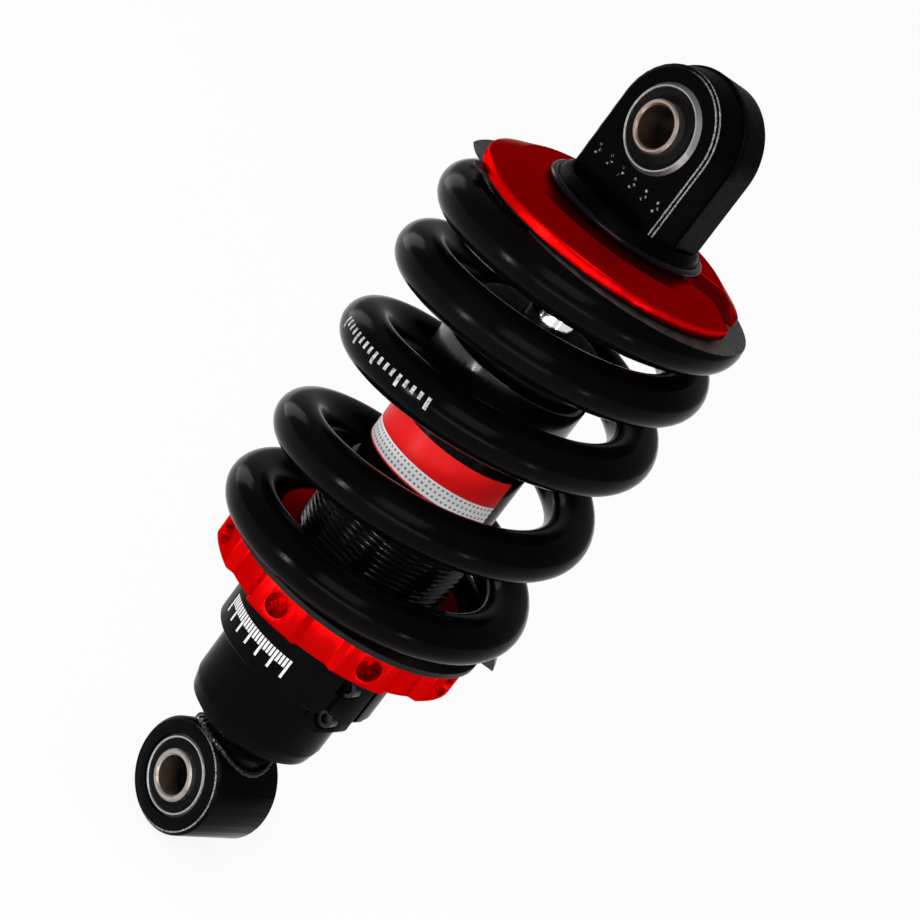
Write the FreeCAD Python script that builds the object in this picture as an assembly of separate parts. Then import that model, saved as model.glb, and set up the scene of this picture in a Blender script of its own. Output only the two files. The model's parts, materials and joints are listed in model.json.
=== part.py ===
import FreeCAD, Part

import math
import os

# Rear monoshock with a coil-over spring.  Millimetres.
# The origin is the centre of the lower eye's bore.  +Z is the damper's axis, towards the upper eye,
# and both eye bores run along Y.  The damper is fully extended and the preload is at its lowest.

os.makedirs("parts", exist_ok=True)

V = FreeCAD.Vector
ORIGIN = V(0, 0, 0)
Y_AXIS = V(0, 1, 0)
Z_AXIS = V(0, 0, 1)

# ---- overall -------------------------------------------------------------------------------------
eye_to_eye = 205.0          # between the two bore centres, damper extended
stroke = 30.0               # full travel of the rod

# ---- clearances ----------------------------------------------------------------------------------
running_gap = 0.05          # radial, between a shaft and the bore that it runs in
face_gap = 0.05             # between flat faces that slide on each other
loose_gap = 0.4             # radial, between pieces that pass each other without guiding
cut_past = 1.0              # a cutting body reaches this far past the surface that it cuts

# ---- bushes in both eyes -------------------------------------------------------------------------
bolt_bore_r = 5.1           # M10 bolt
bolt_sleeve_length = 25.0
bolt_sleeve_chamfer = 0.4
lower_sleeve_wall = 1.6
upper_sleeve_wall = 1.3
outer_sleeve_wall = 1.25
outer_sleeve_chamfer = 0.15 # at the bore
outer_sleeve_lead_r = 0.8   # radial size of the lead-in at both outer ends, for pressing it in
outer_sleeve_lead_length = 1.1
rubber_recess = 0.8         # the rubber's face lies this far behind the outer sleeve's
rubber_groove = 0.7         # depth of the moulded dish in the rubber's face

# ---- lower eye and end cap -----------------------------------------------------------------------
lower_eye_r = 15.1
lower_eye_width = 23.2
lower_eye_face_r = 12.2     # where the flat face turns into a very shallow cone
lower_eye_rim_drop = 0.35   # how far that cone falls
lower_eye_edge = 0.9        # chamfer outside the cone
lower_outer_sleeve_r = 10.7
lower_outer_sleeve_length = 22.9
neck_r = 9.9
neck_start_z = 12.8         # where the straight neck starts to flare
neck_flare_mid_r = 10.9
neck_flare_mid_z = 16.2
cap_bottom_z = 18.2
cap_bottom_r = 13.0
cap_shoulder_z = 21.7       # between the steep and the shallow cone
cap_shoulder_r = 17.5
cap_seam_z = 26.0           # where the cones end and the tube begins
cap_spigot_length = 4.0
gas_port_z = 22.6
gas_port_depth = 11.0
gas_screw_r = 2.5
gas_screw_length = 5.0
gas_socket_flats = 2.5
gas_socket_depth = 2.2
gas_screw_sunk = 0.6        # below the lowest point of the port's mouth
gas_passage_r = 1.5

# ---- damper tube and head ------------------------------------------------------------------------
tube_bore_r = 16.0
tube_wall = 2.6
guide_bottom_z = 112.0
guide_length = 18.0         # inside the tube
guide_flange_thickness = 3.0
bushing_wall = 1.5
bushing_length = 10.0
bushing_inset = 1.0         # above the guide's lower face
seal_r = 10.0
seal_length = 5.5
o_ring_section_r = 1.1
o_ring_squeeze = 0.1        # the groove is this much shallower than the ring's section
cap_skirt_z = 121.0
cap_top_z = 138.7
cap_r = 20.0
cap_chamfer = 0.9
wiper_r = 9.5
wiper_length = 4.0
wiper_sunk = 0.4            # the wiper ends this far under the cap's top
wiper_relief = 1.0          # radial room behind the lip
wiper_lip_height = 1.2
wiper_lip_chamfer = 0.3

# ---- bump stop on the rod ------------------------------------------------------------------------
bump_r = 18.4
bump_height = 10.3
bump_round = 3.5
bump_foot = 1.2             # chamfer at its lower edge

# ---- rod and piston ------------------------------------------------------------------------------
rod_r = 6.25
rod_stub_r = 4.0            # carries the piston
rod_thread_r = 5.0          # screwed into the upper mount
rod_thread_length = 11.0
top_out_length = 7.9
rod_edge = 0.6
backup_washer_r = 11.0
backup_washer_thickness = 1.5
shim_r = 12.5
shim_step = 1.6             # each shim of a stack is this much smaller in radius
shim_thickness = 0.3
shim_count = 4
piston_length = 10.0
piston_side_gap = 0.6       # the piston's body is this much smaller than the bore
piston_band_length = 7.0
piston_band_depth = 1.2
piston_port_r = 1.5
piston_port_circle_r = 9.6
piston_port_count = 6
nut_flats = 13.0
nut_height = 6.5
nut_edge = 1.0
rod_end_past_nut = 1.5

# ---- floating piston between oil and gas ---------------------------------------------------------
gas_room = 5.4              # height of the gas chamber that is left at full stroke
floating_length = 7.5
floating_dish_r = 11.0
floating_dish_depth = 2.5
floating_edge = 0.6

# ---- clamp collar, threaded sleeve and preload adjuster ------------------------------------------
collar_bottom_z = 41.5
collar_top_z = 58.9
collar_r = 22.5
collar_edge = 0.5
collar_slit_angle = 9.0     # degrees from +X
collar_slit_width = 1.6
collar_pad_r = 23.4         # thicker sector at the slit, for the screws
collar_pad_before = 25.0    # degrees from the slit to the pad's end on the heads' side
collar_pad_after = 20.0     # and on the far side
ear_r = 4.3                 # round ear that holds the lower pinch screw, below the collar's edge
ear_length = 9.5
ear_axis_r = 19.4           # distance of its axis from the damper's axis
pinch_axis_r = 20.5
pinch_lower_z = 40.9
pinch_upper_z = 51.0
pinch_screw_r = 1.5
pinch_screw_length = 12.0
pinch_head_r = 2.3
pinch_head_length = 2.6
pinch_head_start = 5.6      # from the middle of the slit to the underside of the head
pinch_pocket_length = 5.2   # along the screw, open at the pad's end
pinch_socket_flats = 2.5
pinch_socket_depth = 1.4
circlip_thickness = 1.5
circlip_r = 20.0
circlip_groove_depth = 0.9
circlip_gap_width = 9.0
circlip_z = 47.0
sleeve_r = 20.6             # over the thread
sleeve_top_z = 95.5
sleeve_chamfer = 1.0
adjuster_bottom_z = 59.5
adjuster_top_z = 69.0
adjuster_lobe_r = 35.1
adjuster_valley_r = 32.6
adjuster_lobes = 8
adjuster_first_lobe = -27.5     # degrees from +X
adjuster_lobe_half_angle = 11.5
adjuster_flank_angle = 4.0
adjuster_corner_round = 1.0
adjuster_chamfer = 0.9
adjuster_spigot_top_z = 75.0
adjuster_spigot_chamfer = 1.0
pin_hole_r = 3.1
pin_hole_depth = 6.5
pin_hole_z = 64.6

# ---- spring and its seats ------------------------------------------------------------------------
wire_r = 6.25
spring_inner_r = 28.2
spring_spigot_gap = 1.2     # radial, between the spring and the adjuster's spigot
spring_skirt_gap = 0.6      # radial, between the spring and the nylon seat's skirt
spring_bottom_z = 70.5
spring_top_z = 173.6
spring_turns = 5.49
spring_tip_drop = 1.2       # the wire's centre starts this far below the ground bottom face
spring_start_angle = 35.5   # degrees from +X, of the lower tip
pitch_lower_end = 7.6       # rise per turn where the bottom coil starts
pitch_lower = 30.4          # widest, in the lower active coils
pitch_upper = 15.3          # narrower, in the upper active coils
pitch_upper_end = 10.4      # where the top coil ends
turns_to_widest = 1.81
turns_to_narrow = 4.44
sections_per_turn = 20
seat_washer_r = 36.4
nylon_flange_r = 34.0
nylon_flange_thickness = 0.7
nylon_skirt_wall = 3.3
nylon_skirt_length = 5.1
nylon_tab_angle = 238.0     # degrees from +X
nylon_tab_width = 7.0
nylon_tab_r = 38.0

# ---- upper spring retainer and upper mount -------------------------------------------------------
retainer_top_z = 180.5
retainer_rim_r = 35.6
retainer_rim_top_z = 177.2
retainer_flat_r = 28.9
retainer_plate = 4.2
retainer_pocket_gap = 0.6   # radial, around the gland cap, which comes near at full stroke
retainer_slot_width = 14.4
retainer_slot_angle = 33.0
boss_r = 20.3
boss_top_r = 18.8
boss_height = 4.6
boss_edge = 0.8
lug_r = 16.5                # of the half on the -Y side, at the mould's parting plane
lug_half_step = 0.5         # the half on the +Y side stands out this much further there
lug_parting_y = -1.0
lug_thickness = 19.0
lug_draft = 1.2             # how much narrower each half is where its edge chamfer starts
lug_chamfer = 0.7
upper_outer_sleeve_r = 10.9
upper_outer_sleeve_length = 21.2


# ---- shapes used by several pieces ---------------------------------------------------------------
def turned(profile):
    """A solid of revolution about Z from (radius, z) points."""
    points = [V(r, 0, z) for r, z in profile]
    face = Part.Face(Part.makePolygon(points + [points[0]]))
    return face.revolve(ORIGIN, Z_AXIS, 360)


def turned_about_y(profile, z=0.0):
    """A solid of revolution about the line through (0, 0, z) along Y, from (radius, y) points."""
    points = [V(r, y, z) for r, y in profile]
    face = Part.Face(Part.makePolygon(points + [points[0]]))
    return face.revolve(V(0, 0, z), Y_AXIS, 360)


def ring(inner_r, outer_r, bottom_z, top_z):
    return turned([(inner_r, bottom_z), (outer_r, bottom_z), (outer_r, top_z), (inner_r, top_z)])


def chamfered_ring(inner_r, outer_r, bottom_z, top_z, chamfer):
    """A ring whose outer edges are chamfered."""
    return turned([
        (inner_r, bottom_z),
        (outer_r - chamfer, bottom_z),
        (outer_r, bottom_z + chamfer),
        (outer_r, top_z - chamfer),
        (outer_r - chamfer, top_z),
        (inner_r, top_z),
    ])


def hexagon(flats, height, base, direction):
    """A hexagonal prism from base along direction."""
    corner_r = flats / 2 / math.cos(math.radians(30))
    points = []
    for corner in range(7):
        angle = math.radians(60 * corner)
        points.append(V(corner_r * math.cos(angle), corner_r * math.sin(angle), 0))
    prism = Part.Face(Part.makePolygon(points)).extrude(V(0, 0, height))
    prism.Placement = FreeCAD.Placement(base, FreeCAD.Rotation(Z_AXIS, direction))
    return prism


def turned_by(shape, degrees):
    """A copy of the shape turned about Z."""
    copy = shape.copy()
    copy.rotate(ORIGIN, Z_AXIS, degrees)
    return copy


# ---- bushes --------------------------------------------------------------------------------------
def bolt_sleeve(outer_r, z):
    half = bolt_sleeve_length / 2
    c = bolt_sleeve_chamfer
    return turned_about_y([
        (bolt_bore_r, -half + c), (bolt_bore_r + c, -half), (outer_r - c, -half), (outer_r, -half + c),
        (outer_r, half - c), (outer_r - c, half), (bolt_bore_r + c, half), (bolt_bore_r, half - c),
    ], z)


def outer_sleeve(outer_r, length, z):
    half = length / 2
    c = outer_sleeve_chamfer
    inner_r = outer_r - outer_sleeve_wall
    lead_r = outer_r - outer_sleeve_lead_r
    lead_y = half - outer_sleeve_lead_length
    return turned_about_y([
        (inner_r, -half + c), (inner_r + c, -half), (lead_r, -half), (outer_r, -lead_y),
        (outer_r, lead_y), (lead_r, half), (inner_r + c, half), (inner_r, half - c),
    ], z)


def bush_rubber(sleeve_outer_r, outer_r, outer_length, z):
    """Rubber ring between the sleeves, with a dished face on both sides."""
    inner_r = sleeve_outer_r + running_gap
    rim_r = outer_r - outer_sleeve_wall
    half = outer_length / 2 - rubber_recess
    dish_r = (inner_r + rim_r) / 2
    return turned_about_y([
        (inner_r, -half), (dish_r, -half + rubber_groove), (rim_r, -half),
        (rim_r, half), (dish_r, half - rubber_groove), (inner_r, half),
    ], z)


# ---- lower eye, end cap and tube -----------------------------------------------------------------
tube_r = tube_bore_r + tube_wall
tube_top_z = guide_bottom_z + guide_length
guide_top_z = tube_top_z + guide_flange_thickness
lower_sleeve_r = bolt_bore_r + lower_sleeve_wall
upper_sleeve_r = bolt_bore_r + upper_sleeve_wall
spring_mean_r = spring_inner_r + wire_r
adjuster_spigot_r = spring_inner_r - spring_spigot_gap
nylon_skirt_r = spring_inner_r - spring_skirt_gap


def make_lower_eye():
    half = lower_eye_width / 2
    rim_r = lower_eye_r - lower_eye_edge
    rim_y = half - lower_eye_rim_drop
    edge_y = rim_y - lower_eye_edge
    barrel = turned_about_y([
        (0, -half), (lower_eye_face_r, -half), (rim_r, -rim_y), (lower_eye_r, -edge_y),
        (lower_eye_r, edge_y), (rim_r, rim_y), (lower_eye_face_r, half), (0, half),
    ])
    flare = Part.Arc(
        V(neck_r, 0, neck_start_z),
        V(neck_flare_mid_r, 0, neck_flare_mid_z),
        V(cap_bottom_r, 0, cap_bottom_z),
    ).toShape()
    outline = Part.Wire([
        Part.makeLine(ORIGIN, V(neck_r, 0, 0)),
        Part.makeLine(V(neck_r, 0, 0), V(neck_r, 0, neck_start_z)),
        flare,
        Part.makeLine(V(cap_bottom_r, 0, cap_bottom_z), V(0, 0, cap_bottom_z)),
        Part.makeLine(V(0, 0, cap_bottom_z), ORIGIN),
    ])
    neck = Part.Face(outline).revolve(ORIGIN, Z_AXIS, 360)
    bore = Part.makeCylinder(lower_outer_sleeve_r, lower_eye_width * 2, V(0, -lower_eye_width, 0), Y_AXIS)
    return barrel.fuse(neck).cut(bore).removeSplitter()


def make_lower_end_cap():
    body = turned([
        (0, cap_bottom_z),
        (cap_bottom_r, cap_bottom_z),
        (cap_shoulder_r, cap_shoulder_z),
        (tube_r, cap_seam_z),
        (tube_bore_r, cap_seam_z),
        (tube_bore_r, cap_seam_z + cap_spigot_length),
        (0, cap_seam_z + cap_spigot_length),
    ])
    start_y = tube_r
    port = Part.makeCylinder(gas_screw_r, gas_port_depth, V(0, start_y, gas_port_z), V(0, -1, 0))
    passage_y = start_y - gas_port_depth + gas_passage_r
    passage = Part.makeCylinder(
        gas_passage_r, cap_seam_z + cap_spigot_length - gas_port_z, V(0, passage_y, gas_port_z)
    )
    return body.cut(port).cut(passage)


def make_gas_fill_screw():
    """Grub screw at the outer end of the gas port, with its socket outwards."""
    cone_slope = (cap_shoulder_r - cap_bottom_r) / (cap_shoulder_z - cap_bottom_z)
    mouth_y = cap_bottom_r + (gas_port_z - gas_screw_r - cap_bottom_z) * cone_slope
    outer_y = mouth_y - gas_screw_sunk
    screw = Part.makeCylinder(gas_screw_r, gas_screw_length, V(0, outer_y, gas_port_z), V(0, -1, 0))
    socket = hexagon(gas_socket_flats, gas_socket_depth, V(0, outer_y, gas_port_z), V(0, -1, 0))
    return screw.cut(socket)


def make_damper_tube():
    tube = ring(tube_bore_r, tube_r, cap_seam_z, tube_top_z)
    groove_r = tube_r - circlip_groove_depth
    groove = ring(groove_r, tube_r + cut_past, circlip_z - circlip_thickness, circlip_z)
    return tube.cut(groove)


# ---- damper head ---------------------------------------------------------------------------------
seal_bottom_z = guide_top_z - seal_length - guide_flange_thickness / 2
bushing_bottom_z = guide_bottom_z + bushing_inset


def make_rod_guide():
    flange_r = tube_r
    bushing_r = rod_r + running_gap + bushing_wall
    throat_r = rod_r + loose_gap
    body = turned([
        (throat_r, guide_bottom_z),
        (tube_bore_r, guide_bottom_z),
        (tube_bore_r, tube_top_z),
        (flange_r, tube_top_z),
        (flange_r, guide_top_z),
        (seal_r, guide_top_z),
        (seal_r, seal_bottom_z),
        (throat_r, seal_bottom_z),
        (throat_r, bushing_bottom_z + bushing_length),
        (bushing_r, bushing_bottom_z + bushing_length),
        (bushing_r, bushing_bottom_z),
        (throat_r, bushing_bottom_z),
    ])
    return body.cut(guide_groove())


guide_groove_z = (guide_bottom_z + tube_top_z) / 2
guide_groove_r = tube_bore_r - 2 * o_ring_section_r + o_ring_squeeze


def guide_groove():
    half = o_ring_section_r + o_ring_squeeze
    return ring(guide_groove_r, tube_bore_r + cut_past, guide_groove_z - half, guide_groove_z + half)


def make_guide_o_ring():
    """Squeezed between the groove and the tube, so that its section is a little flat."""
    half = o_ring_section_r
    middle = (guide_groove_r + tube_bore_r) / 2
    quarter = (tube_bore_r - guide_groove_r) / 4
    return turned([
        (guide_groove_r, guide_groove_z - half / 2), (middle - quarter, guide_groove_z - half),
        (middle + quarter, guide_groove_z - half), (tube_bore_r, guide_groove_z - half / 2),
        (tube_bore_r, guide_groove_z + half / 2), (middle + quarter, guide_groove_z + half),
        (middle - quarter, guide_groove_z + half), (guide_groove_r, guide_groove_z + half / 2),
    ])


def make_rod_bushing():
    inner_r = rod_r + running_gap
    return ring(inner_r, inner_r + bushing_wall, bushing_bottom_z, bushing_bottom_z + bushing_length)


def make_rod_seal():
    """Lip seal: a solid heel with a groove between its two lips."""
    inner_r = rod_r + running_gap
    top = seal_bottom_z + seal_length
    lip = seal_length / 2
    middle = (inner_r + seal_r) / 2
    return turned([
        (inner_r, seal_bottom_z), (middle, seal_bottom_z + lip), (seal_r, seal_bottom_z),
        (seal_r, top), (inner_r, top),
    ])


def make_gland_cap():
    c = cap_chamfer
    wiper_bottom_z = cap_top_z - wiper_sunk - wiper_length
    return turned([
        (tube_r, cap_skirt_z),
        (cap_r - c, cap_skirt_z),
        (cap_r, cap_skirt_z + c),
        (cap_r, cap_top_z - c),
        (cap_r - c, cap_top_z),
        (wiper_r, cap_top_z),
        (wiper_r, wiper_bottom_z),
        (rod_r + loose_gap, wiper_bottom_z),
        (rod_r + loose_gap, guide_top_z),
        (tube_r, guide_top_z),
    ])


def make_dust_wiper():
    """Ring with a narrow lip on the rod, relieved below it."""
    top = cap_top_z - wiper_sunk
    inner_r = rod_r + running_gap
    relief_r = inner_r + wiper_relief
    lip_bottom = top - wiper_lip_chamfer - wiper_lip_height
    return turned([
        (relief_r, top - wiper_length), (wiper_r, top - wiper_length), (wiper_r, top),
        (inner_r + wiper_lip_chamfer, top), (inner_r, top - wiper_lip_chamfer),
        (inner_r, lip_bottom), (relief_r, lip_bottom - wiper_relief),
    ])


def make_bump_stop():
    bottom = cap_top_z
    top = cap_top_z + bump_height
    bore_r = rod_r + loose_gap
    corner = bump_r - bump_round
    middle = V(
        corner + bump_round * math.cos(math.radians(45)), 0,
        top - bump_round + bump_round * math.sin(math.radians(45)),
    )
    rounding = Part.Arc(V(bump_r, 0, top - bump_round), middle, V(corner, 0, top)).toShape()
    outline = Part.Wire([
        Part.makeLine(V(bore_r, 0, bottom), V(bump_r - bump_foot, 0, bottom)),
        Part.makeLine(V(bump_r - bump_foot, 0, bottom), V(bump_r, 0, bottom + bump_foot)),
        Part.makeLine(V(bump_r, 0, bottom + bump_foot), V(bump_r, 0, top - bump_round)),
        rounding,
        Part.makeLine(V(corner, 0, top), V(bore_r, 0, top)),
        Part.makeLine(V(bore_r, 0, top), V(bore_r, 0, bottom)),
    ])
    return Part.Face(outline).revolve(ORIGIN, Z_AXIS, 360)


# ---- rod and piston ------------------------------------------------------------------------------
rod_shoulder_z = guide_bottom_z - 2 * face_gap - top_out_length
shim_stack = shim_thickness * shim_count
backup_washer_bottom_z = rod_shoulder_z - backup_washer_thickness
piston_top_z = backup_washer_bottom_z - shim_stack
piston_bottom_z = piston_top_z - piston_length
nut_washer_top_z = piston_bottom_z - shim_stack
nut_top_z = nut_washer_top_z - backup_washer_thickness
nut_bottom_z = nut_top_z - nut_height
rod_bottom_z = nut_bottom_z - rod_end_past_nut
band_bottom_z = (piston_top_z + piston_bottom_z - piston_band_length) / 2
band_inner_r = tube_bore_r - piston_side_gap - piston_band_depth


def make_piston_rod():
    return turned([
        (0, rod_bottom_z),
        (rod_stub_r - rod_edge, rod_bottom_z),
        (rod_stub_r, rod_bottom_z + rod_edge),
        (rod_stub_r, rod_shoulder_z),
        (rod_r, rod_shoulder_z),
        (rod_r, retainer_top_z),
        (rod_thread_r, retainer_top_z),
        (rod_thread_r, retainer_top_z + rod_thread_length - rod_edge),
        (rod_thread_r - rod_edge, retainer_top_z + rod_thread_length),
        (0, retainer_top_z + rod_thread_length),
    ])


def make_top_out_bumper():
    return chamfered_ring(
        rod_r, backup_washer_r, rod_shoulder_z, guide_bottom_z - 2 * face_gap, rod_edge
    )


def make_backup_washers():
    """One washer on the rod's shoulder and one on the nut."""
    upper = ring(rod_stub_r, backup_washer_r, backup_washer_bottom_z, rod_shoulder_z)
    lower = ring(rod_stub_r, backup_washer_r, nut_top_z, nut_washer_top_z)
    return Part.makeCompound([upper, lower])


def shims(piston_face_z, away):
    """A stack of shims that gets smaller away from the piston's face."""
    stack = []
    for number in range(shim_count):
        near = piston_face_z + away * shim_thickness * number
        far = near + away * shim_thickness
        radius = shim_r - shim_step * number
        stack.append(ring(rod_stub_r, radius, min(near, far), max(near, far)))
    whole = stack[0]
    for shim in stack[1:]:
        whole = whole.fuse(shim)
    return whole


def make_piston():
    body_r = tube_bore_r - piston_side_gap
    body = chamfered_ring(rod_stub_r, body_r, piston_bottom_z, piston_top_z, rod_edge)
    outer_r = tube_bore_r + cut_past
    groove = ring(band_inner_r, outer_r, band_bottom_z, band_bottom_z + piston_band_length)
    body = body.cut(groove)
    for port in range(piston_port_count):
        hole = Part.makeCylinder(
            piston_port_r, piston_length, V(piston_port_circle_r, 0, piston_bottom_z)
        )
        body = body.cut(turned_by(hole, 360 / piston_port_count * port))
    return body


def make_piston_band():
    return ring(
        band_inner_r, tube_bore_r - running_gap, band_bottom_z, band_bottom_z + piston_band_length
    )


def make_piston_nut():
    nut = hexagon(nut_flats, nut_height, V(0, 0, nut_bottom_z), Z_AXIS)
    corner_r = nut_flats / 2 / math.cos(math.radians(30))
    rounded = turned([
        (0, nut_bottom_z), (corner_r - nut_edge, nut_bottom_z), (corner_r, nut_bottom_z + nut_edge / 2),
        (corner_r, nut_top_z), (0, nut_top_z),
    ])
    bore = Part.makeCylinder(rod_stub_r, nut_height, V(0, 0, nut_bottom_z))
    return nut.common(rounded).cut(bore)


floating_travel = stroke * (rod_r / tube_bore_r) ** 2
floating_bottom_z = cap_seam_z + cap_spigot_length + gas_room + floating_travel
floating_groove_half = o_ring_section_r + o_ring_squeeze
floating_groove_z = floating_bottom_z + floating_length / 2 - floating_groove_half


def make_floating_piston():
    radius = tube_bore_r - running_gap
    e = floating_edge
    top = floating_bottom_z + floating_length
    body = turned([
        (0, floating_bottom_z), (radius - e, floating_bottom_z), (radius, floating_bottom_z + e),
        (radius, top - e), (radius - e, top), (floating_dish_r, top),
        (floating_dish_r - floating_dish_depth, top - floating_dish_depth),
        (0, top - floating_dish_depth),
    ])
    half = floating_groove_half
    outer_r = tube_bore_r + cut_past
    groove = ring(guide_groove_r, outer_r, floating_groove_z - half, floating_groove_z + half)
    return body.cut(groove)


def make_floating_piston_o_ring():
    outer_r = tube_bore_r - running_gap
    half = o_ring_section_r
    quarter = (outer_r - guide_groove_r) / 4
    middle = (guide_groove_r + outer_r) / 2
    z = floating_groove_z
    return turned([
        (guide_groove_r, z - half / 2), (middle - quarter, z - half), (middle + quarter, z - half),
        (outer_r, z - half / 2), (outer_r, z + half / 2), (middle + quarter, z + half),
        (middle - quarter, z + half), (guide_groove_r, z + half / 2),
    ])


# ---- clamp collar, sleeve and adjuster -----------------------------------------------------------
def pinch_place(axis_r, along, z):
    """A point near the collar's slit: axis_r out from the damper's axis, along the screws' direction."""
    a = math.radians(collar_slit_angle)
    return V(axis_r * math.cos(a) - along * math.sin(a), axis_r * math.sin(a) + along * math.cos(a), z)


def pinch_direction(sign):
    a = math.radians(collar_slit_angle)
    return V(-math.sin(a) * sign, math.cos(a) * sign, 0)


def pinch_holes(z):
    """Clearance for one pinch screw and its head."""
    shank_start = pinch_place(pinch_axis_r, -pinch_head_start, z)
    shank = Part.makeCylinder(pinch_screw_r, pinch_screw_length, shank_start, pinch_direction(1))
    pocket = Part.makeCylinder(
        pinch_head_r + loose_gap / 2, pinch_pocket_length, shank_start, pinch_direction(-1)
    )
    return shank.fuse(pocket)


def collar_pad():
    """The thicker sector of the collar on both sides of its slit."""
    e = collar_edge
    inner_r = collar_r - 2 * e
    whole = turned([
        (inner_r, collar_bottom_z), (collar_pad_r - e, collar_bottom_z),
        (collar_pad_r, collar_bottom_z + e), (collar_pad_r, collar_top_z - e),
        (collar_pad_r - e, collar_top_z), (inner_r, collar_top_z),
    ])
    reach = 2 * collar_pad_r
    sector = Part.Face(Part.makePolygon([
        ORIGIN,
        polar(reach, collar_slit_angle - collar_pad_before),
        polar(reach, collar_slit_angle),
        polar(reach, collar_slit_angle + collar_pad_after),
        ORIGIN,
    ])).extrude(V(0, 0, 2 * collar_top_z))
    return whole.common(sector)


def make_clamp_collar():
    e = collar_edge
    seat_z = circlip_z
    body = turned([
        (circlip_r + loose_gap, collar_bottom_z),
        (collar_r - e, collar_bottom_z),
        (collar_r, collar_bottom_z + e),
        (collar_r, collar_top_z - e),
        (collar_r - e, collar_top_z),
        (tube_r, collar_top_z),
        (tube_r, seat_z),
        (circlip_r + loose_gap, seat_z),
    ])
    ear_start = pinch_place(ear_axis_r, -ear_length, pinch_lower_z)
    ear = Part.makeCylinder(ear_r, ear_length, ear_start, pinch_direction(1))
    shell = ring(tube_r + loose_gap, collar_pad_r, collar_bottom_z - 2 * ear_r, collar_top_z)
    ear = ear.common(shell)
    body = body.fuse(collar_pad()).fuse(ear)
    slit = Part.makeBox(
        2 * collar_pad_r, collar_slit_width, 2 * collar_top_z, V(0, -collar_slit_width / 2, 0)
    )
    body = body.cut(turned_by(slit, collar_slit_angle))
    for z in (pinch_lower_z, pinch_upper_z):
        body = body.cut(pinch_holes(z))
    clip_room = ring(0, circlip_r + loose_gap, circlip_z - circlip_thickness, circlip_z)
    return body.cut(clip_room)


def make_clamp_screws():
    screws = []
    for z in (pinch_lower_z, pinch_upper_z):
        start = pinch_place(pinch_axis_r, -pinch_head_start, z)
        shank = Part.makeCylinder(pinch_screw_r, pinch_screw_length, start, pinch_direction(1))
        head = Part.makeCylinder(pinch_head_r, pinch_head_length, start, pinch_direction(-1))
        top = pinch_place(pinch_axis_r, -pinch_head_start - pinch_head_length, z)
        socket = hexagon(pinch_socket_flats, pinch_socket_depth, top, pinch_direction(1))
        screws.append(shank.fuse(head).cut(socket))
    return Part.makeCompound(screws)


def make_sleeve_circlip():
    clip = ring(
        tube_r - circlip_groove_depth, circlip_r, circlip_z - circlip_thickness, circlip_z
    )
    opening = Part.makeBox(
        circlip_r * 2, circlip_gap_width, circlip_thickness,
        V(0, -circlip_gap_width / 2, circlip_z - circlip_thickness),
    )
    return clip.cut(turned_by(opening, collar_slit_angle + 180))


def make_threaded_sleeve():
    c = sleeve_chamfer
    return turned([
        (tube_r, collar_top_z), (sleeve_r, collar_top_z), (sleeve_r, sleeve_top_z - c),
        (sleeve_r - c, sleeve_top_z), (tube_r, sleeve_top_z),
    ])


def adjuster_outline():
    """Closed wire of lobes and valleys in the plane z = 0."""
    step = 360 / adjuster_lobes
    foot_half = adjuster_lobe_half_angle + adjuster_flank_angle
    edges = []
    for lobe in range(adjuster_lobes):
        middle = adjuster_first_lobe + step * lobe
        lobe_start = polar(adjuster_lobe_r, middle - adjuster_lobe_half_angle)
        lobe_end = polar(adjuster_lobe_r, middle + adjuster_lobe_half_angle)
        valley_start = polar(adjuster_valley_r, middle + foot_half)
        valley_middle = polar(adjuster_valley_r, middle + step / 2)
        valley_end = polar(adjuster_valley_r, middle + step - foot_half)
        next_lobe = polar(adjuster_lobe_r, middle + step - adjuster_lobe_half_angle)
        edges.append(Part.Arc(lobe_start, polar(adjuster_lobe_r, middle), lobe_end).toShape())
        edges.append(Part.makeLine(lobe_end, valley_start))
        edges.append(Part.Arc(valley_start, valley_middle, valley_end).toShape())
        edges.append(Part.makeLine(valley_end, next_lobe))
    return Part.Wire(edges)


def polar(radius, degrees):
    angle = math.radians(degrees)
    return V(radius * math.cos(angle), radius * math.sin(angle), 0)


def upright_edges(shape, height):
    """The straight edges of the shape that run along Z over its whole height."""
    found = []
    for edge in shape.Edges:
        low, high = edge.BoundBox.ZMin, edge.BoundBox.ZMax
        narrow = edge.BoundBox.XLength < 1e-6 and edge.BoundBox.YLength < 1e-6
        if narrow and abs(high - low - height) < 1e-6:
            found.append(edge)
    return found


def make_preload_adjuster():
    height = adjuster_top_z - adjuster_bottom_z
    disc = Part.Face(adjuster_outline()).extrude(V(0, 0, height))
    disc = disc.makeFillet(adjuster_corner_round, upright_edges(disc, height))
    disc.translate(V(0, 0, adjuster_bottom_z))
    c = adjuster_chamfer
    envelope = turned([
        (0, adjuster_bottom_z), (adjuster_lobe_r - c, adjuster_bottom_z),
        (adjuster_lobe_r, adjuster_bottom_z + c), (adjuster_lobe_r, adjuster_top_z - c / 2),
        (adjuster_lobe_r - c / 2, adjuster_top_z), (0, adjuster_top_z),
    ])
    disc = disc.common(envelope)
    s = adjuster_spigot_chamfer
    spigot = turned([
        (0, pin_hole_z), (adjuster_spigot_r, pin_hole_z),
        (adjuster_spigot_r, adjuster_spigot_top_z - s),
        (adjuster_spigot_r - s, adjuster_spigot_top_z), (0, adjuster_spigot_top_z),
    ])
    bore_r = sleeve_r + running_gap
    bore = Part.makeCylinder(
        bore_r, adjuster_spigot_top_z - adjuster_bottom_z, V(0, 0, adjuster_bottom_z)
    )
    nut = disc.fuse(spigot).cut(bore)
    for lobe in range(adjuster_lobes):
        hole = Part.makeCylinder(
            pin_hole_r, pin_hole_depth, V(adjuster_lobe_r, 0, pin_hole_z), V(-1, 0, 0)
        )
        nut = nut.cut(turned_by(hole, adjuster_first_lobe + 360 / adjuster_lobes * lobe))
    return nut


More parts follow.
